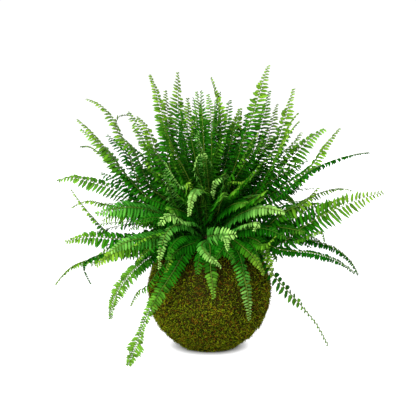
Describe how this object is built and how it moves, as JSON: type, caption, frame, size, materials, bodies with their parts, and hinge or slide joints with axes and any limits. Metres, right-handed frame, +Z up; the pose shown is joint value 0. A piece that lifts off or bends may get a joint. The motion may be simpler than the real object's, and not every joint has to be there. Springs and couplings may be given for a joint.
{
  "type": "kokedama moss ball plant",
  "caption": "Kokedama: a bushy Boston fern with arching fronds growing from a round root ball wrapped in living moss, resting on a small flat spot.",
  "frame": {"origin": "middle of the flat spot under the moss ball, on the surface that it rests on", "axes": "+Z up, +X to the right across the wider spread of the fronds, +Y to the back"},
  "size_m": [0.463, 0.367, 0.402],
  "materials": {
    "moss": "dense short sheet moss, olive green with yellow-green and red-brown flecks, matt and fuzzy",
    "peat_soil": "damp dark brown peat and clay, crumbly and matt",
    "crown_wood": "dark brown woody crown with scaly old frond bases",
    "deep_frond": "mature fern leaf, deep green with a soft waxy gloss and fine veins",
    "fresh_frond": "fern leaf in full growth, mid green with a soft waxy gloss and fine veins",
    "pale_frond": "young fern leaf, pale yellow-green, thin and slightly glossy"
  },
  "bodies": {
    "root": {"moss_wrap": "moss", "soil_ball": "peat_soil", "rhizome_crown": "crown_wood", "back_frond_01": "deep_frond", "back_frond_02": "deep_frond", "back_frond_03": "deep_frond", "back_frond_04": "fresh_frond", "back_frond_05": "fresh_frond", "back_frond_06": "deep_frond", "back_frond_07": "fresh_frond", "back_frond_08": "deep_frond", "front_frond_01": "deep_frond", "front_frond_02": "pale_frond", "front_frond_03": "fresh_frond", "front_frond_04": "fresh_frond", "front_frond_05": "pale_frond", "front_frond_06": "pale_frond", "front_frond_07": "pale_frond", "front_frond_08": "pale_frond", "left_frond_01": "deep_frond", "left_frond_02": "deep_frond", "left_frond_03": "deep_frond", "left_frond_04": "fresh_frond", "left_frond_05": "fresh_frond", "left_frond_06": "pale_frond", "left_frond_07": "fresh_frond", "left_frond_08": "pale_frond", "left_frond_09": "fresh_frond", "left_frond_10": "fresh_frond", "left_frond_11": "deep_frond", "left_frond_12": "fresh_frond", "left_frond_13": "deep_frond", "left_frond_14": "fresh_frond", "left_frond_15": "fresh_frond", "left_frond_16": "fresh_frond", "left_frond_17": "fresh_frond", "right_frond_01": "deep_frond", "right_frond_02": "deep_frond", "right_frond_03": "deep_frond", "right_frond_04": "fresh_frond", "right_frond_05": "fresh_frond", "right_frond_06": "fresh_frond", "right_frond_07": "fresh_frond", "right_frond_08": "deep_frond", "right_frond_09": "fresh_frond", "right_frond_10": "deep_frond", "right_frond_11": "fresh_frond", "right_frond_12": "fresh_frond", "upright_frond_01": "fresh_frond", "upright_frond_02": "fresh_frond", "upright_frond_03": "fresh_frond", "upright_frond_04": "fresh_frond", "upright_frond_05": "deep_frond", "upright_frond_06": "deep_frond", "upright_frond_07": "fresh_frond", "upright_frond_08": "fresh_frond", "upright_frond_09": "fresh_frond", "upright_frond_10": "deep_frond", "upright_frond_11": "fresh_frond", "upright_frond_12": "fresh_frond"}
  },
  "joints": []
}
